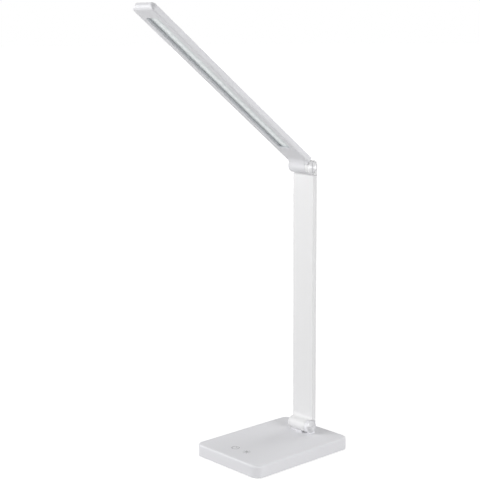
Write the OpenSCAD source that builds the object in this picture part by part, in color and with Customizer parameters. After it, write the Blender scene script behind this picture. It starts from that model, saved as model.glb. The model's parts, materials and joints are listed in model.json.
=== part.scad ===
// Folding desk lamp with an LED head. Millimetres, +Z up.
// The origin is the middle of the base's underside. The lamp's front points to -Y.
// The stem stands near the rear of the base, and the head reaches forward and up from it.

/* [Base] */
// Width of the base, left to right
base_w = 124; // [116:1:150]
// Depth of the base, front to rear
base_d = 172; // [166:1:200]
// Height of the cover without the pad under it
base_h = 16.5; // [15.5:0.5:22]
// Corner radius of the base seen from above
base_corner_r = 11; // [8:0.5:16]
// Rounding of the cover's top edge
base_edge_r = 2.6; // [1:0.1:4]
// Wall of the cover
cover_wall = 2.2; // [1.6:0.1:3]
// Thickness of the bottom tray
tray_t = 2; // [1.6:0.1:2.4]
// Thickness of the anti-slip pad
pad_t = 1; // [0.6:0.1:2]
// Distance of the pad's edge from the base's edge
pad_inset = 3; // [2:0.5:6]
// Thickness of the steel ballast plate
ballast_t = 4.8; // [3:0.1:5]
// Distance from the base's rear edge to the stem's front face
stem_setback = 29; // [26:0.5:40]

/* [Touch marks] */
// Distance between the two marks
mark_pitch = 22; // [18:1:34]
// Outer radius of each mark
mark_r = 5.6; // [4:0.1:7]
// Distance of the marks from the base's front edge
mark_setback = 28; // [22:1:40]
// Depth of the marks in the cover
mark_depth = 0.6; // [0.3:0.1:1]

/* [Stem] */
// Width of the stem
stem_w = 38.5; // [38:0.5:46]
// Thickness of the stem, front to back
stem_t = 7.5; // [7.2:0.1:9]
// Wall of the stem's shells
stem_wall = 1.5; // [1:0.1:1.6]
// Rounding of the stem's long edges
stem_edge_r = 1.2; // [0.6:0.1:1.5]
// Distance between the two hinge axes
axis_span = 361; // [352:1:420]

/* [Hinges] */
// Radius of the two hinge barrels
barrel_r = 9; // [8.6:0.1:10.5]
// Gap between the lower barrel and the base's top
barrel_lift = 0.8; // [0.5:0.1:2]
// Distance of the stem's front face behind the hinge axes
stem_offset = 1.5; // [1.2:0.1:2]
// Width of the fixed ear at the right of each barrel
ear_w = 5.95; // [5.7:0.05:7]
// Gap between a barrel and its ear
ear_gap = 0.4; // [0.3:0.05:0.8]
// Gap between the upper ear's round edge and the notch in the head's side
swing_gap = 0.4; // [0.35:0.05:0.8]
// Rounding of the upper ear's rear corner
ear_back_r = 6.5; // [4:0.5:8]
// Rounding of the barrels' left ends
end_round = 3; // [1:0.5:3]
// Width of the end caps at the barrels' left ends
end_cap_w = 3.2; // [3.1:0.1:5]
// Radius of the hollow hinge pins
pin_r = 3.5; // [3.2:0.1:3.8]
// Radius of the wire bore in the hinge pins
pin_bore_r = 1.6; // [1.4:0.1:1.8]
// Radial running clearance of the hinge pins
running_fit = 0.05; // [0.02:0.01:0.09]
// Thickness of the steel hinge brackets
bracket_t = 1.5; // [1.2:0.1:1.5]
// Thickness of the friction washers
washer_t = 0.9; // [0.8:0.1:1]
// Thickness of the lock nuts
nut_t = 3.4; // [2.6:0.1:4]
// Radius of the round caps on the ears
ear_cap_r = 8; // [6:0.1:8.2]

/* [Head] */
// Length of the head from the hinge axis to its tip
head_l = 335.5; // [300:0.5:340]
// Width of the head
head_w = 39.5; // [38.5:0.5:48]
// Thickness of the head
head_t = 8; // [8:0.1:9]
// Distance of the head's underside behind the hinge axis
head_offset = 1; // [0.8:0.1:1.2]
// Tilt of the head above the horizontal
head_tilt = 37.5; // [0:0.5:80]
// Corner radius of the head's tip seen from above
tip_r = 6; // [3:0.5:10]
// Rounding between the tip and the underside
tip_round = 5.5; // [2:0.5:6]
// Rounding of the head's long edges
head_edge_r = 1.1; // [0.5:0.1:1.3]
// Wall of the head's housing
head_wall = 1.5; // [1:0.1:1.6]
// Thickness of the underside frame
frame_t = 1.6; // [1.4:0.1:1.8]
// Radius of the blend between the underside and the barrel
head_blend_r = 14; // [8:0.5:16]
// Radius of the same blend beside the upper ear
side_blend_r = 10; // [6:0.5:10]

/* [Light] */
// Distance from the hinge axis to the slot's near end
slot_root = 42; // [40:1:120]
// Width of the slot
slot_w = 23; // [16:0.5:26]
// Distance from the slot's far end to the tip
slot_margin = 18.5; // [14:0.5:30]
// Corner radius of the slot
slot_r = 4; // [2:0.5:6]
// Depth of the slot to the diffuser's crown
slot_depth = 2.2; // [1.8:0.1:2.2]
// How far the diffuser bulges at its middle
diffuser_crown = 1.6; // [0.6:0.1:1.6]
// Number of LED chips
led_count = 24; // [12:1:40]

/* [Power inlet] */
// Distance of the inlet from the base's left side
jack_side = 32; // [24:1:38]
// Radius of the inlet's socket
jack_socket_r = 2.8; // [2.6:0.1:3]
// Radius of the inlet's centre pin
jack_pin_r = 1; // [0.8:0.05:1.2]
// Length of the inlet's centre pin
jack_pin_l = 9; // [7:0.5:9.5]
// Radius of the two-core wires
wire_r = 0.8; // [0.6:0.1:0.9]

/* [Hidden] */
$fn = 72;
eps = 0.01;

// Heights in the base
cover_z0 = pad_t;
cover_top = pad_t + base_h;
ceiling_z = cover_top - cover_wall;
floor_z = pad_t + tray_t;
tray_gap = 0.2;

// Hinge axes
hinge_y = base_d / 2 - stem_setback - stem_offset;
lower_z = cover_top + barrel_lift + barrel_r;
upper_z = lower_z + axis_span;
swing_r = barrel_r + swing_gap;
side_end = swing_r + 0.1;
inner_r = barrel_r + 4;
beyond = 50;

// Neck of the lower ear, and the stem's corner over it
neck_front = 3.5;
neck_back = 6;
neck_wall = 1.5;
ear_notch_z = 5;

// Saddle that carries the cover's block under the lower barrel
saddle_x0 = -7;
saddle_x1 = 6;
saddle_half = 6.5;
saddle_left_x = -15;
saddle_left_half = 5;

// Widths along the hinge axes, from the right end of the ear inwards
ear_x1 = stem_w / 2;
ear_x0 = ear_x1 - ear_w;
barrel_x1 = ear_x0 - ear_gap;
lug_x0 = ear_x0;
lug_x1 = ear_x0 + bracket_t;
flange_t = 0.7;
flange_r = pin_r + 1.5;
flange_x1 = lug_x1 + flange_t;
ear_cap_t = 1.1;
ear_cap_gap = 0.05;
ear_cap_x1 = ear_x1 - 0.15;
ear_cap_x0 = ear_cap_x1 - ear_cap_t;
stack_gap = 0.05;
washer_a_x1 = ear_x0 - stack_gap;
washer_a_x0 = washer_a_x1 - washer_t;
arm_x1 = washer_a_x0;
arm_x0 = arm_x1 - bracket_t;
washer_b_x0 = arm_x0 - washer_t;
spring_t = 0.8;
spring_count = 2;
springs_x0 = washer_b_x0 - spring_count * spring_t;
nut_x1 = springs_x0 - stack_gap;
nut_x0 = nut_x1 - nut_t;
pin_x0 = nut_x0 - 1;
pocket_wall = 1.6;
pocket_r = barrel_r - pocket_wall;
pocket_x0 = nut_x0 - 1.4;
washer_r = pocket_r - 0.9;
lug_r = pocket_r - 0.8;
nut_across = 2 * (pin_r + 2.1);
wire_room_r = 5;
wire_room_x0 = -8;
plug_r = barrel_r - 2;
plug_l = 5;
plug_gap = 0.15;

// Layers inside the stem, measured behind the hinge axis
stem_back = stem_offset + stem_t;
seam_y = stem_offset + stem_t / 2;
core_t = 1;
core_y1 = stem_back - stem_wall;
core_y0 = core_y1 - core_t;
tail_y1 = core_y0;
tail_y0 = tail_y1 - bracket_t;
stem_top_z = barrel_r + 0.35;
stem_bevel = 2.6;
stem_bevel_y = 1.9;
stem_blend_r = 7;
tail_x0 = -1;
tail_l = 34;
arm_reach = inner_r + 4;
arm_y = stem_offset + stem_bevel_y + 1.1;
post_r = 2.3;
rivet_x = 3.5;
rivet_pitch_x = 6.5;
rivet_z = 10;
rivet_pitch_z = 14;
wire_x = -9;
wire_y = stem_offset + stem_wall + wire_r + 0.2;

// Layers inside the head, in its own frame: underside down, tip towards -Y
under_z = head_offset;
top_z = head_offset + head_t;
frame_z = under_z + frame_t;
roof_z = top_z - head_wall;
led_board_t = 1.1;
led_board_z = roof_z - led_board_t;
chip_t = 0.8;
chip_z = led_board_z - chip_t;
crown_z = under_z + slot_depth;
diffuser_z = crown_z + diffuser_crown;
flange_h = min(0.8, chip_z - 0.1 - diffuser_z);
diffuser_gap = 0.3;
diffuser_lip = 1.2;
slot_l = head_l - slot_margin - slot_root;
slot_y0 = -(head_l - slot_margin);
slot_y1 = -slot_root;
skirt_wall = 1.1;
led_board_y1 = slot_y1 - 2;
head_tail_z = roof_z - 1.6 - bracket_t;
head_tail_y0 = slot_y1 + 3.5;
head_cavity_x = head_w / 2 - head_wall;
head_cavity_y1 = -(inner_r + 1.5);
head_arm_y = head_cavity_y1 - 0.5;
head_arm_l = 8;
head_way_z = frame_z + 0.1;
wire_lead = 13;

// Fasteners
screw_r = 1.2;
screw_head_r = 2.2;
screw_head_t = 1.2;
boss_r = 3.2;
small_screw_r = 0.9;
small_head_r = 1.7;
small_head_t = 0.8;
tray_screw_x = base_w / 2 - 10;
tray_screw_y = base_d / 2 - 10;
tray_screw_grip = 7;
ballast_margin = 16;
ballast_w = base_w - 2 * ballast_margin;
ballast_y0 = -base_d / 2 + 24;
ballast_y1 = base_d / 2 - 28;
ballast_screw_x = ballast_w / 2 - 14;
ballast_screw_y = 38;

// Control board under the touch marks
mark_y = -base_d / 2 + mark_setback;
board_t = 1.6;
board_margin = 15;
board_w = mark_pitch + 2 * board_margin;
board_y0 = mark_y - 22;
board_y1 = mark_y + 28;
board_z = ceiling_z - 3.7 - board_t;
board_screw_x = board_w / 2 - 3.5;
board_screw_inset = 4;
board_post_r = 2.6;
connector_h = 2.8;
connector_l = 7;
connector_x = 12;
chip_side = 7;
chip_setback = 20;
capacitor_r = 2.5;
capacitor_h = 3.2;
capacitor_side = 8;
capacitor_setback = 14;
spring_r = 3.4;

// Foot of the lower hinge's bracket under the cover
foot_z = ceiling_z - 4 - bracket_t;
foot_x0 = -12;
foot_y0 = -12;
foot_y1 = 16;
foot_screw_x = 7;

// Inlet
jack_x = base_w / 2 - jack_side;
jack_w = 9;
jack_l = 14;
jack_h = ceiling_z - floor_z - 0.6;
jack_z = floor_z + jack_h / 2;
jack_face_y = base_d / 2 - 0.2;
jack_wall_y = base_d / 2 - cover_wall - 0.2;
jack_collar_r = jack_socket_r + 1.2;
jack_depth = jack_pin_l + 1.2;
jack_root = 1.5;

// Pieces of the ear that wires and brackets pass through
wire_bend = 2.4;
ear_wire_x = (flange_x1 + ear_cap_x0) / 2;
wire_end_x = 9;

// ---------------------------------------------------------------- helpers

// Extrudes a (Y, Z) outline along X
module along_x(x0, x1) {
    translate([x0, 0, 0])
        rotate([90, 0, 90])
            linear_extrude(x1 - x0)
                children();
}

// A rod along X
module rod_x(r, x0, x1, fn = 72) {
    translate([x0, 0, 0])
        rotate([0, 90, 0])
            cylinder(r = r, h = x1 - x0, $fn = fn);
}

// A ring along X
module ring_x(outer, inner, x0, x1) {
    difference() {
        rod_x(outer, x0, x1);
        rod_x(inner, x0 - 1, x1 + 1);
    }
}

// A box from two corners
module span(a, b) {
    translate(a)
        cube(b - a);
}

// A rounded rectangle about the origin
module round_rect(w, d, r) {
    square([w - 2 * r, d], center = true);
    square([w, d - 2 * r], center = true);
    for (x = [-1, 1], y = [-1, 1])
        translate([x * (w / 2 - r), y * (d / 2 - r)])
            circle(r);
}

module at_lower() {
    translate([0, hinge_y, lower_z])
        children();
}

module at_upper() {
    translate([0, hinge_y, upper_z])
        children();
}

// The head's own frame: underside down and tip towards -Y before it is tilted
module in_head() {
    at_upper()
        rotate([-head_tilt, 0, 0])
            children();
}

// Each place of a list of points
module at_each(places) {
    for (p = places)
        translate(p)
            children();
}

// A screw that stands head down at the origin
module screw(r, head_r, head_t, length) {
    cylinder(r = head_r, h = head_t, $fn = 32);
    cylinder(r = r, h = length, $fn = 24);
}

// Cross recess in the head of a screw that stands at the origin
module cross_recess(reach) {
    recess_t = 0.5;
    for (turn = [0, 90])
        rotate(turn)
            cube([2 * reach, recess_t, 2 * recess_t], center = true);
}

// Tubes along a rounded line
function unit(v) = v / norm(v);
function tangent(p, i) =
    i == 0 ? unit(p[1] - p[0]) :
    i == len(p) - 1 ? unit(p[i] - p[i - 1]) :
    unit(unit(p[i + 1] - p[i]) + unit(p[i] - p[i - 1]));
function square_to(n, t) = unit(n - (n * t) * t);
function side_of(t) = square_to(abs(t.x) < 0.7 ? [1, 0, 0] : [0, 0, 1], t);
function normals(p) =
    [for (i = 0, n = side_of(tangent(p, 0)); i < len(p);
        i = i + 1, n = i < len(p) ? square_to(n, tangent(p, i)) : n) n];
function corner(a, b, c, cut) =
    let (s = b + cut * unit(a - b), e = b + cut * unit(c - b))
    [for (k = [0 : 4]) let (u = k / 4) (1 - u) * (1 - u) * s + 2 * u * (1 - u) * b + u * u * e];
function rounded_line(p, cut) =
    concat([p[0]], [for (i = [1 : len(p) - 2]) each corner(p[i - 1], p[i], p[i + 1], cut)],
        [p[len(p) - 1]]);

module tube(p, r, sides = 8) {
    n = normals(p);
    rings = [for (i = [0 : len(p) - 1]) let (t = tangent(p, i), m = cross(t, n[i]))
        for (k = [0 : sides - 1]) let (a = 360 * k / sides) p[i] + r * (cos(a) * n[i] + sin(a) * m)];
    last = (len(p) - 1) * sides;
    walls = [for (i = [0 : len(p) - 2], k = [0 : sides - 1])
        let (a = i * sides + k, b = i * sides + (k + 1) % sides)
        each [[a, a + sides, b], [b, a + sides, b + sides]]];
    polyhedron(rings, concat(walls, [[for (k = [0 : sides - 1]) k]],
        [[for (k = [sides - 1 : -1 : 0]) last + k]]));
}

// ---------------------------------------------------------------- hinge outlines

// Fills the inner corner between a barrel and a face that lies `off` behind its axis.
// The face runs up from the barrel.
module blend_up(off, r) {
    up = sqrt(pow(barrel_r + r, 2) - pow(r - off, 2));
    difference() {
        polygon([[0, 0], [off, 0], [off, up], [off - r, up]]);
        translate([off - r, up])
            circle(r);
    }
}

// Outline of a steel bracket's lug with its arm, which runs up behind the axis
module lug_up(grow, reach) {
    circle(lug_r + grow);
    translate([arm_y - grow, 0])
        square([tail_y1 - arm_y + 2 * grow, reach + grow]);
}

// Everything fixed on a pin, at its place on the hinge axis
module hinge_pin() {
    difference() {
        union() {
            rod_x(pin_r, pin_x0, flange_x1);
            rod_x(flange_r, lug_x1, flange_x1);
        }
        rod_x(pin_bore_r, pin_x0 - 1, flange_x1 + 1);
    }
}

module lock_nut() {
    difference() {
        rod_x(nut_across / 2 / cos(30), nut_x0, nut_x1, 6);
        rod_x(pin_r + 0.02, nut_x0 - 1, nut_x1 + 1);
    }
}

module friction_washers() {
    ring_x(washer_r, pin_r + 0.1, washer_a_x0, washer_a_x1);
    ring_x(washer_r, pin_r + 0.1, washer_b_x0, arm_x0);
}

// Two coned springs, back to back
module disc_springs() {
    dish = 0.3;
    inner = pin_r + 0.1;
    for (k = [0 : spring_count - 1])
        translate([springs_x0 + (k + 0.5) * spring_t, 0, 0])
            mirror([k % 2, 0, 0])
                rotate([0, 90, 0])
                    rotate_extrude()
                        polygon([[inner, dish - spring_t / 2], [washer_r - 0.4, -spring_t / 2],
                            [washer_r - 0.4, spring_t / 2 - dish], [inner, spring_t / 2]]);
}

// Round cap in an ear's outer face, with a shallow slot across it
module ear_cap(turn) {
    slot_half = 0.8;
    difference() {
        union() {
            rod_x(ear_cap_r - ear_cap_gap, ear_cap_x0, ear_cap_x1 - 0.4);
            translate([ear_cap_x1 - 0.4, 0, 0])
                rotate([0, 90, 0])
                    cylinder(r1 = ear_cap_r - ear_cap_gap, r2 = ear_cap_r - 0.5, h = 0.4);
        }
        rotate([turn, 0, 0])
            span([ear_cap_x1 - 0.45, -slot_half, -ear_cap_r - 1],
                [ear_cap_x1 + 1, slot_half, ear_cap_r + 1]);
    }
}

// Rounded cap with a plug, at a barrel's left end
module end_cap(left) {
    translate([left, 0, 0])
        rotate([0, 90, 0])
            rotate_extrude() {
                translate([0, end_round])
                    square([barrel_r, end_cap_w - end_round]);
                square([barrel_r - end_round, end_cap_w]);
                intersection() {
                    translate([barrel_r - end_round, end_round])
                        circle(end_round);
                    square([barrel_r, end_round + eps]);
                }
            }
    rod_x(plug_r, left + end_cap_w - eps, left + end_cap_w + plug_l);
}

// Hollows of a barrel: the friction pack, the wire room and the end cap's socket
module barrel_hollows(left) {
    rod_x(pocket_r, pocket_x0, barrel_x1 + 1);
    rod_x(wire_room_r, wire_room_x0, pocket_x0 + 1);
    rod_x(plug_r + plug_gap, left + end_cap_w - 1, left + end_cap_w + plug_l + plug_gap);
}

// Hollows of an ear: the bracket's pocket, the pin's flange, the wire's way and the cap's seat
module ear_hollows() {
    along_x(lug_x0 - 0.1, lug_x1 + 0.15)
        children();
    rod_x(flange_r + 0.2, lug_x1 - 1, flange_x1 + 0.15);
    rod_x(wire_r + 0.8, flange_x1, ear_cap_x0);
    rod_x(ear_cap_r, ear_cap_x0 - 0.05, ear_x1 + 1);
}

// ---------------------------------------------------------------- base

// A slab with rounded corners and a rounded top edge, standing at z = 0
module soft_slab(w, d, h, r, e) {
    linear_extrude(h - e)
        round_rect(w, d, r);
    linear_extrude(h)
        round_rect(w - 2 * e, d - 2 * e, r - e);
    for (x = [-1, 1], y = [-1, 1])
        translate([x * (w / 2 - r), y * (d / 2 - r), h - e])
            rotate_extrude()
                translate([r - e, 0])
                    intersection() {
                        circle(e);
                        square([e, e]);
                    }
    for (s = [-1, 1]) {
        translate([s * (w / 2 - e), 0, h - e])
            rotate([90, 0, 0])
                cylinder(r = e, h = d - 2 * r, center = true);
        translate([0, s * (d / 2 - e), h - e])
            rotate([0, 90, 0])
                cylinder(r = e, h = w - 2 * r, center = true);
    }
}

tray_screw_places = [for (x = [-1, 1], y = [-1, 0, 1]) [x * tray_screw_x, y * tray_screw_y, 0]];
board_screw_places = [for (x = [-1, 1], y = [board_y0 + board_screw_inset, board_y1 - board_screw_inset])
    [x * board_screw_x, y, 0]];
weight_screw_places = [for (x = [-1, 1], y = [-1, 1]) [x * ballast_screw_x, y * ballast_screw_y, 0]];
foot_screw_places = [[-foot_screw_x, hinge_y + foot_y0 + 4, 0], [-foot_screw_x, hinge_y + foot_y1 - 4, 0],
    [foot_screw_x, hinge_y + foot_y1 - 4, 0]];

// Outline of the lower hinge's ear: round, on a narrower neck that stands on the cover
module base_ear_outline() {
    circle(barrel_r);
    translate([-neck_front, cover_top - 1 - lower_z])
        square([neck_front + neck_back, lower_z - cover_top + 1]);
}

// Outline of the base bracket's lug, which comes up through the neck
module base_lug_outline(grow) {
    circle(lug_r + grow);
    translate([neck_wall - neck_front - grow, foot_z - lower_z])
        square([neck_front + neck_back - 2 * (neck_wall - grow), lower_z - foot_z]);
}

// A block under the lower barrel, hollowed to the barrel's shape
module saddle(x0, x1, half) {
    difference() {
        span([x0, hinge_y - half, cover_top - 1], [x1, hinge_y + half, lower_z - 2]);
        at_lower()
            rod_x(barrel_r + ear_gap, x0 - 1, x1 + 1);
    }
}

module power_sign() {
    ring = 1.2;
    difference() {
        circle(mark_r);
        circle(mark_r - ring);
        translate([-1.9, 0])
            square([3.8, mark_r + 1]);
    }
    translate([-ring / 2, 0.6])
        square([ring, mark_r - 0.6]);
}

module brightness_sign() {
    rays = 8;
    ray = 1.2;
    circle(mark_r * 0.46);
    for (k = [0 : rays - 1])
        rotate(360 * k / rays)
            translate([mark_r * 0.66, -ray / 2])
                square([mark_r * 0.34, ray]);
}

module base_cover() {
    color("gainsboro")
        difference() {
            union() {
                difference() {
                    translate([0, 0, cover_z0])
                        soft_slab(base_w, base_d, base_h, base_corner_r, base_edge_r);
                    translate([0, 0, cover_z0 - 1])
                        linear_extrude(ceiling_z - cover_z0 + 1)
                            round_rect(base_w - 2 * cover_wall, base_d - 2 * cover_wall,
                                base_corner_r - cover_wall);
                }
                at_lower()
                    along_x(ear_x0, ear_x1)
                        base_ear_outline();
                saddle(saddle_x0, saddle_x1, saddle_half);
                saddle(saddle_left_x, saddle_x0 + 1, saddle_left_half);
                at_each(tray_screw_places)
                    translate([0, 0, floor_z])
                        cylinder(r = boss_r, h = ceiling_z - floor_z + 1, $fn = 32);
                at_each(board_screw_places)
                    translate([0, 0, board_z + board_t])
                        cylinder(r = board_post_r, h = ceiling_z - board_z - board_t + 1, $fn = 32);
                at_each(foot_screw_places)
                    translate([0, 0, foot_z + bracket_t])
                        cylinder(r = boss_r, h = ceiling_z - foot_z - bracket_t + 1, $fn = 32);
            }
            at_each(tray_screw_places)
                translate([0, 0, floor_z - 1])
                    cylinder(r = screw_r - 0.05, h = ceiling_z - floor_z, $fn = 24);
            at_each(board_screw_places)
                translate([0, 0, board_z])
                    cylinder(r = small_screw_r - 0.05, h = ceiling_z - board_z - 0.5, $fn = 24);
            at_each(foot_screw_places)
                translate([0, 0, foot_z])
                    cylinder(r = screw_r - 0.05, h = ceiling_z - foot_z, $fn = 24);
            at_lower()
                ear_hollows()
                    intersection() {
                        base_lug_outline(0.2);
                        translate([-barrel_r, ceiling_z - 1 - lower_z])
                            square([2 * barrel_r, 2 * barrel_r + 20]);
                    }
            at_lower()
                span([flange_x1, -wire_r - 0.8, ceiling_z - 1 - lower_z],
                    [ear_cap_x0, wire_r + 0.8, 0]);
            for (side = [-1, 1])
                translate([side * mark_pitch / 2, mark_y, cover_top - mark_depth])
                    linear_extrude(mark_depth + 1) {
                        if (side < 0) power_sign();
                        if (side > 0) brightness_sign();
                    }
            translate([-jack_x, base_d / 2 + 1, jack_z])
                rotate([90, 0, 0])
                    cylinder(r = jack_collar_r + 0.15, h = cover_wall + 2);
        }
}

module base_tray() {
    color("darkgray")
        difference() {
            union() {
                translate([0, 0, cover_z0])
                    linear_extrude(tray_t)
                        round_rect(base_w - 2 * (cover_wall + tray_gap), base_d - 2 * (cover_wall + tray_gap),
                            base_corner_r - cover_wall - tray_gap);
                for (side = [-1, 1])
                    translate([-jack_x + side * (jack_w / 2 + 1), jack_wall_y - jack_l / 2, floor_z - eps])
                        linear_extrude(4)
                            square([1.4, jack_l - 2], center = true);
            }
            at_each(concat(tray_screw_places, weight_screw_places))
                translate([0, 0, cover_z0 - 1]) {
                    cylinder(r = screw_head_r + 0.15, h = screw_head_t + 1, $fn = 32);
                    cylinder(r = screw_r + 0.15, h = tray_t + 2, $fn = 24);
                }
        }
}

module base_weight() {
    color("slategray")
        difference() {
            translate([0, (ballast_y0 + ballast_y1) / 2, floor_z])
                linear_extrude(ballast_t)
                    round_rect(ballast_w, ballast_y1 - ballast_y0, 3);
            at_each(weight_screw_places)
                translate([0, 0, floor_z - 1])
                    cylinder(r = screw_r + 0.02, h = ballast_t + 2, $fn = 24);
        }
}

module anti_slip_pad() {
    color("dimgray")
        linear_extrude(pad_t)
            round_rect(base_w - 2 * pad_inset, base_d - 2 * pad_inset, base_corner_r - pad_inset);
}

module tray_screws() {
    color("silver")
        at_each(tray_screw_places)
            translate([0, 0, cover_z0])
                screw(screw_r - 0.1, screw_head_r, screw_head_t, tray_t + tray_screw_grip);
}

module weight_screws() {
    color("silver")
        at_each(weight_screw_places)
            translate([0, 0, cover_z0])
                screw(screw_r - 0.05, screw_head_r, screw_head_t, tray_t + ballast_t - 0.6);
}

module power_mark() {
    color("gray")
        translate([-mark_pitch / 2, mark_y, cover_top - mark_depth])
            linear_extrude(mark_depth)
                power_sign();
}

module brightness_mark() {
    color("gray")
        translate([mark_pitch / 2, mark_y, cover_top - mark_depth])
            linear_extrude(mark_depth)
                brightness_sign();
}

module control_board() {
    color("seagreen")
        difference() {
            span([-board_w / 2, board_y0, board_z], [board_w / 2, board_y1, board_z + board_t]);
            at_each(board_screw_places)
                translate([0, 0, board_z - 1])
                    cylinder(r = small_screw_r + 0.15, h = board_t + 2, $fn = 24);
        }
}

module board_parts() {
    top = board_z + board_t;
    color("black") {
        for (x = [-connector_x, connector_x])
            span([x - 3, board_y1 - connector_l, top], [x + 3, board_y1, top + connector_h]);
        translate([0, board_y1 - chip_setback, top])
            linear_extrude(1)
                square(chip_side, center = true);
        translate([-board_w / 2 + capacitor_side, board_y1 - capacitor_setback, top])
            cylinder(r = capacitor_r, h = capacitor_h, $fn = 32);
        for (k = [0 : 3])
            span([4 + 3 * k, board_y0 + 6, top], [5.6 + 3 * k, board_y0 + 9, top + 0.8]);
    }
}

module board_screws() {
    color("silver")
        at_each(board_screw_places)
            translate([0, 0, board_z - small_head_t])
                screw(small_screw_r - 0.1, small_head_r, small_head_t, small_head_t + board_t + 2.2);
}

module touch_springs() {
    color("goldenrod")
        for (side = [-1, 1])
            translate([side * mark_pitch / 2, mark_y, board_z + board_t])
                difference() {
                    cylinder(r = spring_r, h = ceiling_z - board_z - board_t, $fn = 32);
                    translate([0, 0, -1])
                        cylinder(r = spring_r - 0.6, h = ceiling_z - board_z, $fn = 32);
                }
}

// Cylinder that points to +Y
module rod_y(r, y0, y1) {
    translate([0, y0, 0])
        rotate([-90, 0, 0])
            cylinder(r = r, h = y1 - y0, $fn = 48);
}

module dc_jack() {
    color("black")
        translate([-jack_x, 0, jack_z])
            difference() {
                union() {
                    span([-jack_w / 2, jack_wall_y - jack_l, -jack_h / 2],
                        [jack_w / 2, jack_wall_y, jack_h / 2]);
                    rod_y(jack_collar_r, jack_wall_y - 1, jack_face_y);
                }
                rod_y(jack_socket_r, jack_face_y - jack_depth, jack_face_y + 1);
                rod_y(jack_pin_r * 0.7, jack_face_y - jack_depth - jack_root, jack_face_y);
            }
}

module dc_jack_pin() {
    color("silver")
        translate([-jack_x, 0, jack_z])
            union() {
                rod_y(jack_pin_r * 0.7, jack_face_y - jack_depth - jack_root, jack_face_y - jack_depth + 1);
                rod_y(jack_pin_r, jack_face_y - jack_depth, jack_face_y - jack_depth + jack_pin_l);
            }
}

module supply_wire() {
    from = [-jack_x, jack_wall_y - jack_l - 0.1, jack_z];
    to = [-connector_x, board_y1 + 0.1, board_z + board_t + connector_h / 2];
    route = [from, [-jack_x, 40, jack_z + 1], [-jack_x, board_y1 + 26, to.z],
        [to.x, board_y1 + 12, to.z], to];
    color("whitesmoke")
        tube(rounded_line(route, 6), wire_r);
}

module base_wire() {
    from = [connector_x, board_y1 + 0.1, board_z + board_t + connector_h / 2];
    run_z = ceiling_z - 2;
    route = [from, [connector_x, board_y1 + 14, from.z], [ear_wire_x, board_y1 + 30, run_z],
        [ear_wire_x, hinge_y, run_z], [ear_wire_x, hinge_y, lower_z], [wire_end_x, hinge_y, lower_z]];
    color("whitesmoke")
        tube(rounded_line(route, wire_bend - 0.2), wire_r);
}

module base_bracket() {
    color("lightsteelblue")
        difference() {
            union() {
                at_lower()
                    along_x(lug_x0, lug_x1)
                        base_lug_outline(0);
                span([foot_x0, hinge_y + foot_y0, foot_z],
                    [lug_x1, hinge_y + foot_y1, foot_z + bracket_t]);
            }
            at_lower()
                rod_x(pin_r + 0.02, lug_x0 - 1, lug_x1 + 1);
            at_each(foot_screw_places)
                translate([0, 0, foot_z - 1])
                    cylinder(r = screw_r + 0.15, h = bracket_t + 2, $fn = 24);
        }
}

module bracket_screws() {
    color("silver")
        at_each(foot_screw_places)
            translate([0, 0, foot_z - 1])
                screw(screw_r - 0.1, screw_head_r, 1, 1 + bracket_t + 3.4);
}

module lower_pin() {
    color("silver")
        at_lower()
            hinge_pin();
}

module lower_nut() {
    color("silver")
        at_lower()
            lock_nut();
}

module lower_ear_cap() {
    color("silver")
        at_lower()
            ear_cap(90);
}

module lower_washers() {
    color("darkgoldenrod")
        at_lower()
            friction_washers();
}

module lower_springs() {
    color("slategray")
        at_lower()
            disc_springs();
}

module lower_end_cap() {
    color("gainsboro")
        at_lower()
            end_cap(-stem_w / 2);
}

// ---------------------------------------------------------------- stem

// Outline of the stem's top ear: round at the front, flush with the stem at the back. Its
// neck stands behind the bevel, so that the head's underside can fold down in front of it.
module stem_ear_outline() {
    circle(barrel_r);
    polygon([[0, 0], [stem_offset + stem_bevel_y, -stem_top_z],
        [stem_offset + stem_edge_r, -stem_top_z - stem_bevel],
        [stem_back, -stem_top_z - stem_bevel], [stem_back, 0]]);
    square([stem_back, barrel_r - ear_back_r]);
    square([stem_back - ear_back_r, barrel_r]);
    translate([stem_back - ear_back_r, barrel_r - ear_back_r])
        circle(ear_back_r);
}

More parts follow.
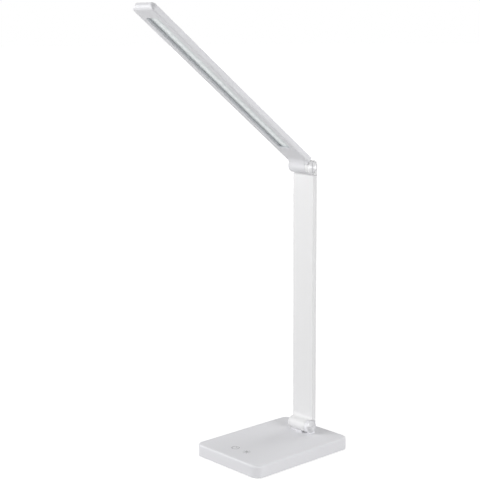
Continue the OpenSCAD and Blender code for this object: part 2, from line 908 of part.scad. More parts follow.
// The whole stem before it is parted into its two shells
module stem_solid() {
    difference() {
        union() {
            difference() {
                translate([0, hinge_y + stem_offset + stem_t / 2, lower_z])
                    linear_extrude(axis_span)
                        round_rect(stem_w, stem_t, stem_edge_r);
                // room for the head's barrel at the top
                at_upper()
                    along_x(-stem_w / 2 - 1, stem_w / 2 + 1)
                        polygon([[-20, -stem_top_z - stem_bevel],
                            [stem_offset, -stem_top_z - stem_bevel],
                            [stem_offset + stem_bevel_y, -stem_top_z], [20, -stem_top_z],
                            [20, 20], [-20, 20]]);
            }
            at_lower() {
                along_x(-stem_w / 2 + end_cap_w, barrel_x1)
                    circle(barrel_r);
                along_x(-stem_w / 2 + end_cap_w, ear_x1)
                    blend_up(stem_offset, stem_blend_r);
            }
            at_upper()
                along_x(ear_x0, ear_x1)
                    stem_ear_outline();
        }
        // room for the lower ear at the right
        at_lower() {
            rod_x(barrel_r + ear_gap, barrel_x1, ear_x1 + 1);
            span([barrel_x1, 0, -barrel_r], [ear_x1 + 1, stem_back + 1, ear_notch_z]);
        }
        // round socket for the lower end cap at the left
        at_lower()
            rod_x(barrel_r + 0.1, -stem_w / 2 - 1, -stem_w / 2 + end_cap_w);
        at_lower()
            barrel_hollows(-stem_w / 2);
        // room for the moving bracket, from the friction pack up into the stem
        at_lower()
            along_x(arm_x0 - 0.2, barrel_x1)
                intersection() {
                    lug_up(0.3, arm_reach + 4);
                    translate([-barrel_r, -barrel_r])
                        square([barrel_r + stem_back - stem_wall, beyond]);
                }
        // wire's way from the wire room up into the stem
        at_lower()
            span([wire_room_x0 + 1, stem_offset + stem_wall, 0], [-1, core_y1, inner_r + 6]);
        // long hollow
        span([-stem_w / 2 + stem_wall, hinge_y + stem_offset + stem_wall, lower_z + inner_r + 2],
            [stem_w / 2 - stem_wall, hinge_y + core_y1, upper_z - inner_r - 4]);
        // pocket of the fixed bracket in the top ear
        at_upper()
            ear_hollows()
                mirror([0, 1])
                    lug_up(0.2, arm_reach + 4);
        // wire's way up into the top ear
        at_upper()
            span([flange_x1, stem_offset + stem_wall, -inner_r - 6],
                [ear_cap_x0, core_y0, -stem_top_z - stem_bevel]);
        at_upper()
            span([flange_x1, arm_y, -stem_top_z - stem_bevel - eps], [ear_cap_x0, core_y0, -2]);
        at_upper()
            span([flange_x1, -wire_r - 0.8, -7], [ear_cap_x0, core_y0, 0]);
    }
}

stem_screw_x = stem_w / 2 - stem_wall - 2.6;
stem_screw_low = 60;
stem_screw_high = 84;
stem_screw_places = [for (x = [-1, 1], z = [lower_z + stem_screw_low, upper_z - stem_screw_high])
    [x * stem_screw_x, hinge_y, z]];

// Posts that the stem's screws pass, from shell to shell
module stem_posts(r, y0, y1) {
    for (p = stem_screw_places)
        translate([p.x, hinge_y, p.z])
            rod_y(r, y0, y1);
}

module stem_front_shell() {
    color("white")
        difference() {
            union() {
                intersection() {
                    stem_solid();
                    translate([0, hinge_y + seam_y, 0])
                        span([-beyond, -beyond, 0], [beyond, 0, upper_z + beyond]);
                }
                stem_posts(post_r, stem_offset + stem_wall - eps, seam_y);
            }
            stem_posts(small_screw_r - 0.05, stem_offset + 0.8, seam_y + 1);
        }
}

module stem_rear_shell() {
    head_seat = stem_back - small_head_t - 0.1;
    color("whitesmoke")
        difference() {
            union() {
                intersection() {
                    stem_solid();
                    translate([0, hinge_y + seam_y, 0])
                        span([-beyond, 0, 0], [beyond, beyond, upper_z + beyond]);
                }
                stem_posts(post_r, seam_y, core_y1 + eps);
            }
            stem_posts(small_screw_r + 0.1, seam_y - 1, stem_back + 1);
            stem_posts(small_head_r + 0.1, head_seat, stem_back + 1);
        }
}

module stem_screws() {
    color("silver")
        for (p = stem_screw_places)
            translate([p.x, hinge_y + stem_back - 0.1, p.z])
                rotate([90, 0, 0])
                    difference() {
                        screw(small_screw_r - 0.1, small_head_r, small_head_t, stem_t - 1.2);
                        cross_recess(0.65 * small_head_r);
                    }
}

core_z0 = lower_z + inner_r + 4;
core_z1 = upper_z - inner_r - 6;
core_x1 = stem_screw_x - post_r - 0.35;
rivet_columns = [tail_x0 + rivet_x, tail_x0 + rivet_x + rivet_pitch_x];
rivet_rows = [core_z0 + rivet_z, core_z0 + rivet_z + rivet_pitch_z,
    core_z1 - rivet_z - rivet_pitch_z, core_z1 - rivet_z];
rivet_places = [for (x = rivet_columns, z = rivet_rows) [x, z]];

module rivet_holes(r, y0, y1) {
    for (p = rivet_places)
        translate([p.x, hinge_y, p.y])
            rod_y(r, y0, y1);
}

module stem_core() {
    color("lightsteelblue")
        difference() {
            span([-core_x1, hinge_y + core_y0, core_z0], [core_x1, hinge_y + core_y1, core_z1]);
            rivet_holes(1.25, core_y0 - 1, core_y1 + 1);
        }
}

module core_rivets() {
    color("silver")
        for (p = rivet_places)
            translate([p.x, hinge_y, p.y]) {
                rod_y(1.2, tail_y0 - 0.3, core_y1);
                rod_y(2.2, tail_y0 - 0.7, tail_y0);
            }
}

module stem_lower_bracket() {
    color("lightsteelblue")
        difference() {
            union() {
                at_lower()
                    along_x(arm_x0, arm_x1)
                        lug_up(0, arm_reach + 3);
                span([tail_x0, hinge_y + tail_y0, core_z0], [arm_x1, hinge_y + tail_y1, core_z0 + tail_l]);
            }
            at_lower()
                rod_x(pin_r + running_fit, arm_x0 - 1, arm_x1 + 1);
            rivet_holes(1.25, tail_y0 - 1, tail_y1 + 1);
        }
}

module stem_upper_bracket() {
    color("lightsteelblue")
        difference() {
            union() {
                at_upper()
                    along_x(lug_x0, lug_x1)
                        mirror([0, 1])
                            lug_up(0, arm_reach + 3);
                span([tail_x0, hinge_y + tail_y0, core_z1 - tail_l], [lug_x1, hinge_y + tail_y1, core_z1]);
            }
            at_upper()
                rod_x(pin_r + 0.02, lug_x0 - 1, lug_x1 + 1);
            rivet_holes(1.25, tail_y0 - 1, tail_y1 + 1);
        }
}

module stem_wire() {
    y = hinge_y + wire_y;
    neck_y = hinge_y + arm_y + wire_r + 0.2;
    room_x = (wire_room_x0 + pocket_x0) / 2 - 1;
    up_z = lower_z + inner_r + 10;
    cross_z = core_z1 - tail_l - 2;
    route = [[wire_end_x, hinge_y, lower_z], [room_x, hinge_y, lower_z], [room_x, y, lower_z + 2.2],
        [room_x, y, up_z], [wire_x, y, up_z + 12], [wire_x, y, cross_z - 22], [ear_wire_x, y, cross_z],
        [ear_wire_x, y, upper_z - stem_top_z - stem_bevel - 6],
        [ear_wire_x, neck_y, upper_z - stem_top_z - stem_bevel - 2],
        [ear_wire_x, neck_y, upper_z - 6], [ear_wire_x, hinge_y, upper_z - 3.6],
        [ear_wire_x, hinge_y, upper_z], [wire_end_x, hinge_y, upper_z]];
    color("whitesmoke")
        tube(rounded_line(route, 1.6), wire_r);
}

module upper_pin() {
    color("silver")
        at_upper()
            hinge_pin();
}

module upper_nut() {
    color("silver")
        at_upper()
            lock_nut();
}

module upper_ear_cap() {
    color("silver")
        at_upper()
            ear_cap(0);
}

// ---------------------------------------------------------------- head

// The head's whole outline before it is parted, in its own frame
module head_solid() {
    difference() {
        union() {
            intersection() {
                // cross-section
                translate([0, 0, (under_z + top_z) / 2])
                    rotate([90, 0, 0])
                        linear_extrude(head_l)
                            round_rect(head_w, head_t, head_edge_r);
                // outline from above
                linear_extrude(top_z + 1) {
                    translate([0, tip_r - head_l - beyond / 2])
                        square([head_w - 2 * tip_r, beyond], center = true);
                    translate([-head_w / 2, tip_r - head_l])
                        square([head_w, head_l]);
                    for (x = [-1, 1])
                        translate([x * (head_w / 2 - tip_r), tip_r - head_l])
                            circle(tip_r);
                }
                // outline from the side
                along_x(-head_w, head_w) {
                    translate([tip_round - head_l, under_z])
                        square([head_l, head_t]);
                    translate([-head_l, under_z + tip_round])
                        square([head_l, head_t - tip_round]);
                    translate([tip_round - head_l, under_z + tip_round])
                        circle(tip_round);
                }
            }
            along_x(-head_w / 2 + end_cap_w, barrel_x1) {
                circle(barrel_r);
                rotate(90)
                    blend_up(head_offset, head_blend_r);
            }
            along_x(barrel_x1 - 1, head_w / 2 - head_edge_r)
                rotate(90)
                    blend_up(head_offset, side_blend_r);
        }
        // notch for the stem's ear
        rod_x(swing_r, barrel_x1, head_w);
        span([barrel_x1, -side_end, 0], [head_w, beyond, beyond]);
        rod_x(barrel_r + 0.1, -head_w / 2 - 1, -head_w / 2 + end_cap_w);
        barrel_hollows(-head_w / 2);
        // room for the moving bracket
        along_x(arm_x0 - 0.2, barrel_x1)
            head_lug(0.3);
        // wire's way from the wire room into the head
        span([wire_room_x0 + 1, head_arm_y - 9, head_way_z], [tail_x0, 0, roof_z]);
    }
}

// Outline of the head bracket's lug and arm
module head_lug(grow) {
    circle(lug_r + grow);
    translate([head_arm_y - head_arm_l - grow, head_tail_z - grow])
        square([head_arm_l - head_arm_y, bracket_t + 2 * grow]);
}

module head_housing() {
    color("white")
        difference() {
            union() {
                difference() {
                    intersection() {
                        head_solid();
                        span([-beyond, -head_l - 5, frame_z], [beyond, beyond, beyond]);
                    }
                    span([-head_cavity_x, head_wall - head_l + 4, frame_z - 1],
                        [head_cavity_x, head_cavity_y1, roof_z]);
                }
                at_each(head_screw_places)
                    translate([0, 0, head_tail_z + bracket_t])
                        cylinder(r = 2.4, h = roof_z - head_tail_z - bracket_t + eps, $fn = 32);
            }
            at_each(head_screw_places)
                translate([0, 0, head_tail_z])
                    cylinder(r = small_screw_r - 0.05, h = roof_z - head_tail_z + 0.7, $fn = 24);
        }
}

head_screw_places = [for (x = [2, 9]) [x, (head_tail_y0 + head_arm_y) / 2 - 4, 0]];

// A slot-shaped prism about the slot's middle
module slot_prism(grow, z0, z1) {
    translate([0, (slot_y0 + slot_y1) / 2, z0])
        linear_extrude(z1 - z0)
            round_rect(slot_w + 2 * grow, slot_l + 2 * grow, slot_r + grow);
}

module head_frame() {
    color("whitesmoke")
        difference() {
            union() {
                intersection() {
                    head_solid();
                    span([-beyond, -head_l - 5, -beyond], [beyond, beyond, frame_z]);
                }
                slot_prism(skirt_wall, frame_z - eps, diffuser_z);
            }
            slot_prism(0, under_z - 1, diffuser_z + 1);
        }
}

module diffuser() {
    half = slot_w / 2 - diffuser_gap;
    crown_r = (half * half + diffuser_crown * diffuser_crown) / (2 * diffuser_crown);
    color("azure")
        union() {
            intersection() {
                slot_prism(-diffuser_gap, crown_z - 1, diffuser_z + flange_h);
                translate([0, slot_y1, 0])
                    rotate([90, 0, 0])
                        linear_extrude(slot_l)
                            translate([0, crown_z + crown_r])
                                circle(crown_r, $fn = 180);
            }
            translate([0, (slot_y0 + slot_y1) / 2, diffuser_z])
                linear_extrude(flange_h)
                    round_rect(slot_w + 2 * diffuser_lip, slot_l + 2 * diffuser_lip, slot_r);
        }
}

module led_board() {
    color("white")
        span([-slot_w / 2 + 0.5, slot_y0 + 2, led_board_z], [slot_w / 2 - 0.5, led_board_y1, roof_z]);
}

module led_chips() {
    pitch = (slot_l - 16) / (led_count - 1);
    color("lemonchiffon")
        for (k = [0 : led_count - 1])
            translate([0, slot_y0 + 8 + k * pitch, chip_z + chip_t / 2])
                cube([2.8, 3.5, chip_t], center = true);
}

module upper_washers() {
    color("darkgoldenrod")
        at_upper()
            friction_washers();
}

module upper_springs() {
    color("slategray")
        at_upper()
            disc_springs();
}

module upper_end_cap() {
    color("gainsboro")
        in_head()
            end_cap(-head_w / 2);
}

module head_bracket() {
    color("lightsteelblue")
        difference() {
            union() {
                along_x(arm_x0, arm_x1)
                    head_lug(0);
                span([tail_x0, head_tail_y0, head_tail_z], [arm_x1, head_arm_y, head_tail_z + bracket_t]);
            }
            rod_x(pin_r + running_fit, arm_x0 - 1, arm_x1 + 1);
            at_each(head_screw_places)
                translate([0, 0, head_tail_z - 1])
                    cylinder(r = small_screw_r + 0.15, h = bracket_t + 2, $fn = 24);
        }
}

module head_screws() {
    color("silver")
        at_each(head_screw_places)
            translate([0, 0, head_tail_z - small_head_t])
                screw(small_screw_r - 0.1, small_head_r, small_head_t, small_head_t + bracket_t + 1.8);
}

module head_wire() {
    room_x = (wire_room_x0 + pocket_x0) / 2 - 1;
    z = head_way_z + 0.2 + wire_r;
    end_z = roof_z - wire_r - 0.1;
    route = [[wire_end_x, 0, 0], [room_x, 0, 0], [room_x, -2, z], [room_x, -18, z],
        [wire_x, slot_y1 + wire_lead, z + 1], [wire_x, slot_y1 + 4, end_z],
        [wire_x, led_board_y1 + 0.1, end_z]];
    color("whitesmoke")
        tube(rounded_line(route, 1.8), wire_r);
}

base_cover();
base_tray();
base_weight();
anti_slip_pad();
tray_screws();
weight_screws();
power_mark();
brightness_mark();
control_board();
board_parts();
board_screws();
touch_springs();
dc_jack();
dc_jack_pin();
supply_wire();
base_wire();
base_bracket();
bracket_screws();
lower_pin();
lower_nut();
lower_ear_cap();
lower_washers();
lower_springs();
lower_end_cap();
stem_front_shell();
stem_rear_shell();
stem_core();
stem_lower_bracket();
stem_upper_bracket();
core_rivets();
stem_screws();
stem_wire();
upper_pin();
upper_nut();
upper_ear_cap();
upper_washers();
upper_springs();
upper_end_cap();
in_head() head_housing();
in_head() head_frame();
in_head() diffuser();
in_head() led_board();
in_head() led_chips();
in_head() head_bracket();
in_head() head_screws();
in_head() head_wire();
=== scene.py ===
import json
import math

import bpy
from mathutils import Matrix, Vector

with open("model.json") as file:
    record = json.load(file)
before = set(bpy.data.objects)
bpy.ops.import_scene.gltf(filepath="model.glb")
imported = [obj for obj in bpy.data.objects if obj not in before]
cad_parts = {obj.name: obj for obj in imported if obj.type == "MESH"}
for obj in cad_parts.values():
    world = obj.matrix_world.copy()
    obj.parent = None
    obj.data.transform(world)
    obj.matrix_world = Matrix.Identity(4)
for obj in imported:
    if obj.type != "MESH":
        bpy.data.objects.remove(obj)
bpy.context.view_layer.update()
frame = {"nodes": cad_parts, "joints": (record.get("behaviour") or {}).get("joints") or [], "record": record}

nodes = frame["nodes"]
joints = {j["name"]: j for j in frame["joints"]}

MM = 0.001
MICRON = 0.000001

# ------------------------------------------------------------------ measures of the part

STEM_AXIS = Vector(joints["stem_fold"]["pos_m"])
HEAD_AXIS = Vector(joints["head_tilt"]["pos_m"])
HEAD_TILT = math.radians(37.5)

# The slot in the head's underside and the LED row: along the head from its hinge axis, half
# the width across it, and up from the underside.
SLOT_NEAR, SLOT_FAR = 42 * MM, 317 * MM
SLOT_HALF = 11.5 * MM
SLOT_MARGIN = 0.2 * MM
WALL_FROM, WALL_FULL = 1.1 * MM, 1.6 * MM
LED_FIRST, LED_LAST, LED_COUNT = 50 * MM, 309 * MM, 24

# The painted shadow line along the parting line of the upper ear: down and back from the
# hinge axis, and out from the lamp's middle.
EAR_FOOT = 11.3 * MM
EAR_FROM_X = 9.5 * MM
EAR_FROM_Y = 2 * MM
SEAM_CORE, SEAM_RIM = 0.2 * MM, 0.5 * MM

# ------------------------------------------------------------------ node helpers

BEVEL_SAMPLES = 6
NOISE_LOW, NOISE_HIGH = 0.3, 0.7


def scaled(color, by):
    return tuple(min(1, c * by) for c in color)


class Mat:
    """A node material that is built up from small procedural steps in object space."""

    def __init__(self, name):
        self.mat = bpy.data.materials.new(name)
        self.mat.use_nodes = True
        self.tree = self.mat.node_tree
        self.bsdf = self.tree.nodes["Principled BSDF"]
        self.coord = self.node("ShaderNodeTexCoord").outputs["Object"]

    def node(self, kind, **props):
        n = self.tree.nodes.new(kind)
        for key, value in props.items():
            setattr(n, key, value)
        return n

    def put(self, socket, value):
        """Link an output to a socket, or set a plain value on it."""
        if isinstance(value, bpy.types.NodeSocket):
            self.tree.links.new(value, socket)
        else:
            socket.default_value = value

    def set(self, **values):
        """Feed the surface shader: its inputs by name, with _ in place of a space."""
        for key, value in values.items():
            self.put(self.bsdf.inputs[key.replace("_", " ")], value)

    def noise(self, scale, detail=3.0, stretch=(1, 1, 1)):
        """Noise of scale cycles per metre, nearly all of it from NOISE_LOW to NOISE_HIGH."""
        m = self.node("ShaderNodeMapping")
        m.inputs["Scale"].default_value = stretch
        self.put(m.inputs["Vector"], self.coord)
        n = self.node("ShaderNodeTexNoise")
        n.inputs["Scale"].default_value = scale
        n.inputs["Detail"].default_value = detail
        self.put(n.inputs["Vector"], m.outputs["Vector"])
        return n.outputs["Fac"]

    def remap(self, value, lo, hi, out_lo, out_hi):
        r = self.node("ShaderNodeMapRange")
        for i, v in enumerate((value, lo, hi, out_lo, out_hi)):
            self.put(r.inputs[i], v)
        return r.outputs["Result"]

    def spread(self, noise, out_lo, out_hi):
        """A noise value spread from out_lo to out_hi."""
        return self.remap(noise, NOISE_LOW, NOISE_HIGH, out_lo, out_hi)

    def math(self, op, a, b=None, clamp=False):
        m = self.node("ShaderNodeMath", operation=op, use_clamp=clamp)
        self.put(m.inputs[0], a)
        if b is not None:
            self.put(m.inputs[1], b)
        return m.outputs["Value"]

    def product(self, first, *rest):
        for value in rest:
            first = self.math("MULTIPLY", first, value)
        return first

    def vector(self, op, a, b=None):
        v = self.node("ShaderNodeVectorMath", operation=op)
        self.put(v.inputs[0], a)
        if b is not None:
            self.put(v.inputs[1], b)
        return v.outputs["Value" if op in ("LENGTH", "DOT_PRODUCT") else "Vector"]

    def split(self, vector):
        xyz = self.node("ShaderNodeSeparateXYZ")
        self.put(xyz.inputs["Vector"], vector)
        return xyz.outputs["X"], xyz.outputs["Y"], xyz.outputs["Z"]

    def mix(self, fac, a, b):
        """Colour a where fac is 0 and colour b where it is 1."""
        m = self.node("ShaderNodeMix", data_type="RGBA")
        self.put(m.inputs["Factor"], fac)
        for key, color in (("A", a), ("B", b)):
            self.put(m.inputs[key], (*color, 1) if isinstance(color, tuple) else color)
        return m.outputs["Result"]

    def rounded(self, radius):
        """The normal with sharp edges rounded off."""
        bevel = self.node("ShaderNodeBevel", samples=BEVEL_SAMPLES)
        bevel.inputs["Radius"].default_value = radius
        return bevel.outputs["Normal"]

    def bump(self, steps, edge=0.0):
        """steps: (height value, distance in metres). edge: radius that softens sharp edges."""
        normal = self.rounded(edge) if edge else None
        for height, distance in steps:
            b = self.node("ShaderNodeBump")
            b.inputs["Distance"].default_value = distance
            self.put(b.inputs["Height"], height)
            if normal is not None:
                self.put(b.inputs["Normal"], normal)
            normal = b.outputs["Normal"]
        self.set(Normal=normal)


# ------------------------------------------------------------------ masks

def edge_mask(m, radius):
    """1 on sharp edges and 0 on flat faces: how far a rounded normal turns from the true one."""
    true = m.node("ShaderNodeNewGeometry").outputs["Normal"]
    return m.remap(m.vector("DOT_PRODUCT", m.rounded(radius), true), 1.0, 0.9, 0, 1)


def head_coords(m):
    """X, the distance along the head from its hinge axis, and the height over its underside."""
    shift = m.node("ShaderNodeMapping", vector_type="TEXTURE")
    shift.inputs["Location"].default_value = HEAD_AXIS
    shift.inputs["Rotation"].default_value = (-HEAD_TILT, 0, 0)
    m.put(shift.inputs["Vector"], m.coord)
    x, y, z = m.split(shift.outputs["Vector"])
    return x, m.product(y, -1), z


def slot_wall_shade(m):
    """1 on the walls of the slot in the head's underside, where painted shade darkens the frame's colour."""
    x, along, height = head_coords(m)
    return m.product(
        m.math("LESS_THAN", m.math("ABSOLUTE", x), SLOT_HALF + SLOT_MARGIN),
        m.math("GREATER_THAN", along, SLOT_NEAR - SLOT_MARGIN),
        m.math("LESS_THAN", along, SLOT_FAR + SLOT_MARGIN),
        m.remap(height, WALL_FROM, WALL_FULL, 0, 1))


def ear_seam_shadow(m):
    """1 on the painted shadow line along the parting line round the foot of the stem's ear."""
    x, y, z = m.split(m.coord)
    off = m.math("ABSOLUTE", m.math("SUBTRACT", z, HEAD_AXIS.z - EAR_FOOT))
    return m.product(
        m.remap(off, SEAM_CORE, SEAM_RIM, 1, 0),
        m.math("GREATER_THAN", x, EAR_FROM_X),
        m.math("GREATER_THAN", y, HEAD_AXIS.y + EAR_FROM_Y))


# ------------------------------------------------------------------ kinds of material

def moulded_plastic(name, color, rough, grain=1.0, edge=0.4 * MM, painted_shade=None):
    """Satin moulded plastic: spark-eroded grain, faint flow shading and polished edges.

    painted_shade: (mask function, colour) paints shade in that colour where the mask is 1.
    """
    m = Mat(name)
    flow = m.spread(m.noise(14, stretch=(1, 0.6, 0.3)), 0, 1)
    base = m.mix(flow, scaled(color, 0.985), color)
    speck = m.remap(m.noise(2400, 2), 0.35, 0.65, 0, 0.25)
    base = m.mix(speck, base, scaled(color, 0.98))
    if edge:
        rubbed = m.product(edge_mask(m, edge), m.remap(m.noise(160), 0.4, 0.6, 0.2, 0.8), 0.4)
        base = m.mix(rubbed, base, scaled(color, 1.05))
    # Painted shade: where the mask is 1 the colour is darkened in place of the shadow that falls there.
    if painted_shade:
        mask, shade_color = painted_shade
        base = m.mix(mask(m), base, shade_color)
    haze = m.spread(m.noise(48, 4, stretch=(1, 1, 0.5)), rough - 0.015, rough + 0.025)
    fine_haze = m.spread(m.noise(1400, 2), -0.02, 0.02)
    sparks, waves = m.noise(2600, 2), m.noise(320)
    m.bump([(sparks, 8 * MICRON * grain), (waves, 3 * MICRON * grain)], edge)
    m.set(Base_Color=base, Roughness=m.math("ADD", haze, fine_haze), IOR=1.5)
    return m.mat


BELL_BASE = 2.718
# Painted light and shade on the diffuser: lighter along the middle and over each LED, darker towards its
# sides.
DIFFUSER_SHADED, DIFFUSER_LIT = (0.58, 0.64, 0.64), (0.94, 0.985, 0.985)
LED_HALF_X, LED_HALF_ALONG = 4.2 * MM, 3.6 * MM
BAND_HALF, BAND_FALL = 7.2 * MM, 1.3
BAND_SHARE, LED_SHARE, CLOUD_SHARE = 0.62, 0.3, 0.04
RIB_PITCH = 0.8 * MM


def milky_diffuser(name):
    """Ribbed milky acrylic whose colour is painted light along the middle and over each LED, and painted
    shade towards the slot walls at its sides.
    """
    m = Mat(name)
    x, along = head_coords(m)[:2]
    pitch = (LED_LAST - LED_FIRST) / (LED_COUNT - 1)
    steps = m.math("DIVIDE", m.math("SUBTRACT", along, LED_FIRST), pitch)
    cell = m.math("SUBTRACT", m.math("FRACT", m.math("ADD", steps, 0.5)), 0.5)
    dx = m.math("DIVIDE", x, LED_HALF_X)
    dy = m.math("DIVIDE", m.product(cell, pitch), LED_HALF_ALONG)
    from_led = m.math("ADD", m.product(dx, dx), m.product(dy, dy))
    led = m.math("POWER", BELL_BASE, m.product(from_led, -1))
    off = m.math("DIVIDE", x, BAND_HALF)
    lit_band = m.math("POWER", BELL_BASE, m.product(off, off, -BAND_FALL))
    # Painted light: a lighter band down the middle and a lighter spot over each LED.
    glow = m.math("ADD", m.product(lit_band, BAND_SHARE), m.product(led, LED_SHARE))
    cloudy = m.spread(m.noise(45), -CLOUD_SHARE, CLOUD_SHARE)
    base = m.mix(m.math("ADD", glow, cloudy, clamp=True), DIFFUSER_SHADED, DIFFUSER_LIT)
    ribs = m.math("SINE", m.product(x, 2 * math.pi / RIB_PITCH))
    m.bump([(ribs, 20 * MICRON), (m.noise(1500, 2), 10 * MICRON)], 0.2 * MM)
    m.set(Base_Color=base, Roughness=m.spread(m.noise(420), 0.24, 0.34),
          IOR=1.49, Coat_Weight=1.0, Coat_Roughness=0.1)
    return m.mat


def satin_metal(name, color, rough):
    """Brushed metal: fine lines and faint stains."""
    m = Mat(name)
    lines = m.noise(500, 4, stretch=(12, 1, 1))
    stain = m.noise(180, 4)
    tint = m.mix(m.remap(lines, 0.35, 0.65, 0, 1), scaled(color, 0.88), color)
    tint = m.mix(m.remap(stain, 0.45, 0.75, 0, 0.18), tint, scaled(color, 0.7))
    m.bump([(lines, 8 * MICRON), (stain, 6 * MICRON)], 0.2 * MM)
    m.set(Base_Color=tint, Roughness=m.spread(lines, rough - 0.06, rough + 0.08), Metallic=1.0)
    return m.mat


RINGS_PER_METRE = 3600


def turned_cap(name, around, color):
    """Lathe-turned satin metal disc: concentric lines that draw the light out into two fans."""
    m = Mat(name)
    spoke = m.vector("MULTIPLY", m.vector("SUBTRACT", m.coord, around), (0, 1, 1))
    rings = m.node("ShaderNodeTexNoise", noise_dimensions="1D")
    rings.inputs["Scale"].default_value = RINGS_PER_METRE
    m.put(rings.inputs["W"], m.vector("LENGTH", spoke))
    lines, stain = rings.outputs["Fac"], m.noise(180, 4)
    tint = m.mix(m.remap(lines, 0.35, 0.65, 0, 1), scaled(color, 0.93), color)
    tint = m.mix(m.remap(stain, 0.45, 0.75, 0, 0.12), tint, scaled(color, 0.8))
    m.bump([(lines, 4 * MICRON)])
    m.set(Base_Color=tint, Roughness=m.spread(lines, 0.3, 0.39), Metallic=1.0,
          Anisotropic=0.8, Tangent=m.vector("NORMALIZE", spoke))
    return m.mat


def foam_rubber(name, color):
    m = Mat(name)
    cells = m.node("ShaderNodeTexVoronoi")
    cells.inputs["Scale"].default_value = 900
    m.put(cells.inputs["Vector"], m.coord)
    pores = cells.outputs["Distance"]
    tone = m.spread(m.noise(70, 5), 0, 1)
    m.bump([(pores, 120 * MICRON), (m.noise(240, 4), 50 * MICRON)], 0.3 * MM)
    m.set(Base_Color=m.mix(tone, scaled(color, 0.8), scaled(color, 1.15)),
          Roughness=m.remap(pores, 0, 0.7, 0.95, 0.75))
    return m.mat


def printed_ink(name, color):
    m = Mat(name)
    speck = m.noise(3200)
    m.bump([(speck, 6 * MICRON)])
    m.set(Base_Color=m.mix(m.spread(speck, 0, 1), scaled(color, 0.93), color),
          Roughness=m.spread(speck, 0.42, 0.55))
    return m.mat


def solder_mask(name, color, trace):
    """Circuit board lacquer over a pattern of copper tracks."""
    m = Mat(name)
    brick = m.node("ShaderNodeTexBrick")
    brick.inputs["Scale"].default_value = 120
    brick.inputs["Mortar Size"].default_value = 0.03
    m.put(brick.inputs["Vector"], m.coord)
    tracks = brick.outputs["Fac"]
    m.bump([(tracks, 20 * MICRON), (m.noise(1300, 2), 10 * MICRON)])
    m.set(Base_Color=m.mix(tracks, color, trace), Roughness=m.spread(m.noise(400), 0.28, 0.4))
    return m.mat


# ------------------------------------------------------------------ materials of the pieces

WHITE = (0.80, 0.80, 0.805)
COOL_WHITE = (0.79, 0.79, 0.815)
HEAD_WHITE = (0.77, 0.77, 0.795)
FRAME_WHITE = (0.73, 0.73, 0.752)
# Painted shadow for the parting line round the ear's foot.
SEAM_SHADOW_GREY = (0.36, 0.36, 0.365)
# Painted shade for the walls of the slot under the head.
SLOT_WALL_SHADE = (0.59, 0.60, 0.625)
SATIN = 0.5

slot_finish = {
    "base_plastic": moulded_plastic("base satin plastic", COOL_WHITE, 0.42),
    "stem_plastic": moulded_plastic("stem satin plastic", WHITE, SATIN),
    "head_plastic": moulded_plastic("head satin plastic", HEAD_WHITE, SATIN),
    "tray_plastic": moulded_plastic("tray matt plastic", (0.45, 0.45, 0.46), 0.6, 3.0),
    "pad_rubber": foam_rubber("anti-slip foam rubber", (0.09, 0.09, 0.095)),
    "mark_ink": printed_ink("touch mark inlay", (0.42, 0.42, 0.43)),
    "diffuser_milk": milky_diffuser("milky ribbed diffuser"),
    "ballast_steel": satin_metal("black painted ballast", (0.09, 0.09, 0.1), 0.5),
    "bracket_steel": satin_metal("zinc plated steel", (0.60, 0.61, 0.64), 0.32),
    "spring_steel": satin_metal("dark spring steel", (0.35, 0.35, 0.37), 0.35),
    "washer_bronze": satin_metal("bearing bronze", (0.60, 0.42, 0.2), 0.34),
    "contact_copper": satin_metal("plated contact spring", (0.85, 0.6, 0.34), 0.28),
    "board_green": solder_mask("green solder mask", (0.02, 0.16, 0.06), (0.03, 0.24, 0.1)),
    "board_white": solder_mask("white solder mask", (0.78, 0.78, 0.76), (0.7, 0.7, 0.68)),
    "chip_yellow": moulded_plastic("phosphor resin", (0.9, 0.76, 0.3), 0.3, edge=0.1 * MM),
    "part_black": moulded_plastic("black moulded parts", (0.02, 0.02, 0.022), 0.4, 2.0,
                                  edge=0.2 * MM),
    "wire_white": moulded_plastic("wire insulation", (0.75, 0.75, 0.74), 0.45, edge=0.0),
}
node_finish = {
    # The head frame's slot walls and the stem shells' ear parting line get painted shade.
    "head_frame": moulded_plastic("head frame satin plastic", FRAME_WHITE, SATIN,
                                  painted_shade=(slot_wall_shade, SLOT_WALL_SHADE)),
    "stem_front_shell": moulded_plastic("stem front satin plastic", WHITE, SATIN,
                                        painted_shade=(ear_seam_shadow, SEAM_SHADOW_GREY)),
    "stem_rear_shell": moulded_plastic("stem rear satin plastic", WHITE, SATIN,
                                       painted_shade=(ear_seam_shadow, SEAM_SHADOW_GREY)),
    # The upper cap gets a darker colour than the lower one as painted shade; both caps are the same turned
    # metal.
    "lower_ear_cap": turned_cap("lower turned cap", STEM_AXIS, (0.80, 0.80, 0.81)),
    "upper_ear_cap": turned_cap("upper turned cap", HEAD_AXIS, (0.66, 0.66, 0.67)),
    "dc_jack_pin": satin_metal("inlet pin", (0.80, 0.78, 0.72), 0.22),
}
for part in frame["record"]["subparts"]:
    obj = nodes[part["node"]]
    mat = node_finish.get(part["node"]) or slot_finish[part["material_slot"]]
    for s in obj.material_slots:
        s.link = "OBJECT"
        s.material = mat
    if not obj.material_slots:
        obj.data.materials.append(mat)


# ------------------------------------------------------------------ stage

FLOOR_TONE = 0.5
FLOOR_HALF = 60.0
GLOW_NEAR, GLOW_NEAR_AT = 0.72, 0.3
GLOW_FAR, GLOW_FAR_AT = 0.95, 3.0
SKY_LIGHT, SKY_SEEN = 0.2, 1.0


def camera_or_mirror(tree):
    """1 for rays from the camera or from a reflection, 0 for the light that falls on things."""
    path = tree.nodes.new("ShaderNodeLightPath")
    either = tree.nodes.new("ShaderNodeMath")
    either.operation = "MAXIMUM"
    tree.links.new(path.outputs["Is Camera Ray"], either.inputs[0])
    tree.links.new(path.outputs["Is Glossy Ray"], either.inputs[1])
    return either.outputs["Value"]


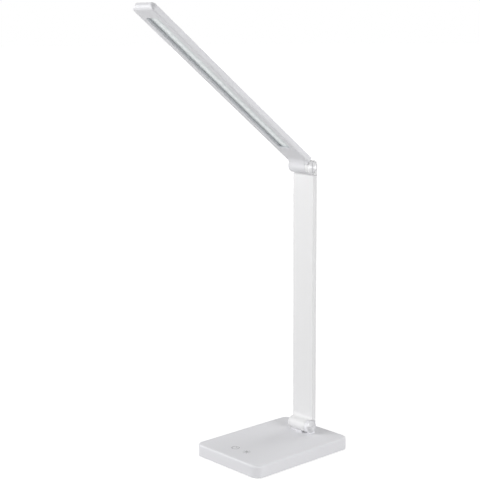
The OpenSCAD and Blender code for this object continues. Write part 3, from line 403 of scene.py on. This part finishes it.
def backdrop_material():
    """White floor: it keeps the lamp's shadow, and the camera sees it as plain white paper."""
    m = Mat("white floor")
    tone = m.spread(m.noise(4), FLOOR_TONE - 0.01, FLOOR_TONE + 0.01)
    tint = m.node("ShaderNodeCombineColor")
    for channel in tint.inputs:
        m.put(channel, tone)
    m.bump([(m.noise(300), 50 * MICRON)])
    m.set(Base_Color=tint.outputs["Color"], Roughness=0.9)
    away = m.vector("LENGTH", m.coord)
    reach = m.remap(away, GLOW_NEAR_AT, GLOW_FAR_AT, GLOW_NEAR, GLOW_FAR)
    glow = m.node("ShaderNodeEmission")
    m.put(glow.inputs["Strength"], m.product(camera_or_mirror(m.tree), reach))
    both = m.node("ShaderNodeAddShader")
    m.put(both.inputs[0], m.bsdf.outputs["BSDF"])
    m.put(both.inputs[1], glow.outputs["Emission"])
    m.put(m.tree.nodes["Material Output"].inputs["Surface"], both.outputs["Shader"])
    return m.mat


floor_corners = [(x * FLOOR_HALF, y * FLOOR_HALF, 0)
                 for x, y in ((-1, -1), (1, -1), (1, 1), (-1, 1))]
floor_mesh = bpy.data.meshes.new("floor")
floor_mesh.from_pydata(floor_corners, [], [(0, 1, 2, 3)])
floor = bpy.data.objects.new("floor", floor_mesh)
bpy.context.scene.collection.objects.link(floor)
floor_mesh.materials.append(backdrop_material())

AIM = Vector((0, -0.05, 0.3))
for name, place, size, power in (
        ("key softbox", (-0.8, -1.1, 0.7), 1.2, 18.2),
        ("side softbox", (1.1, -0.08, 0.35), 0.6, 7.2),
        ("rear softbox", (0.0, 1.4, 0.8), 1.0, 7.0),
        ("small kicker", (0.9, 0.45, 0.35), 0.3, 0.28)):
    light = bpy.data.lights.new(name, "AREA")
    light.shape = "DISK"
    light.size = size
    light.energy = power
    softbox = bpy.data.objects.new(name, light)
    softbox.location = place
    softbox.rotation_euler = (AIM - Vector(place)).to_track_quat("-Z", "Y").to_euler()
    softbox.visible_camera = False
    bpy.context.scene.collection.objects.link(softbox)

world = bpy.data.worlds.new("studio")
bpy.context.scene.world = world
world.use_nodes = True
tree = world.node_tree
tree.nodes.clear()
sky = tree.nodes.new("ShaderNodeMixShader")
tree.links.new(camera_or_mirror(tree), sky.inputs["Fac"])
for socket, strength in ((1, SKY_LIGHT), (2, SKY_SEEN)):
    background = tree.nodes.new("ShaderNodeBackground")
    background.inputs["Color"].default_value = (1, 1, 1, 1)
    background.inputs["Strength"].default_value = strength
    tree.links.new(background.outputs["Background"], sky.inputs[socket])
world_output = tree.nodes.new("ShaderNodeOutputWorld")
tree.links.new(sky.outputs["Shader"], world_output.inputs["Surface"])

# ------------------------------------------------------------------ camera, fitted to the photo

CAMERA_AT = (1.0989, -1.0412, 0.5595)
AZIMUTH, PITCH, ROLL = math.radians(48.17), math.radians(9.93), math.radians(-0.35)
FOCAL_PIXELS, PHOTO_PIXELS = 1159.64, 480
SENSOR_MM = 36

back = Vector((math.sin(AZIMUTH) * math.cos(PITCH), -math.cos(AZIMUTH) * math.cos(PITCH),
               math.sin(PITCH)))
right = Vector((math.cos(AZIMUTH), math.sin(AZIMUTH), 0))
up = back.cross(right)
cam_x = right * math.cos(ROLL) + up * math.sin(ROLL)
cam_y = up * math.cos(ROLL) - right * math.sin(ROLL)
camera = bpy.data.objects.new("camera", bpy.data.cameras.new("camera"))
camera.data.sensor_width = SENSOR_MM
camera.data.lens = SENSOR_MM * FOCAL_PIXELS / PHOTO_PIXELS
camera.data.clip_start = 0.05
camera.data.clip_end = 100
camera.matrix_world = Matrix.Translation(CAMERA_AT) @ Matrix(
    (cam_x, cam_y, back)).transposed().to_4x4()
bpy.context.scene.collection.objects.link(camera)
bpy.context.scene.camera = camera
bpy.context.scene.view_settings.view_transform = "Standard"
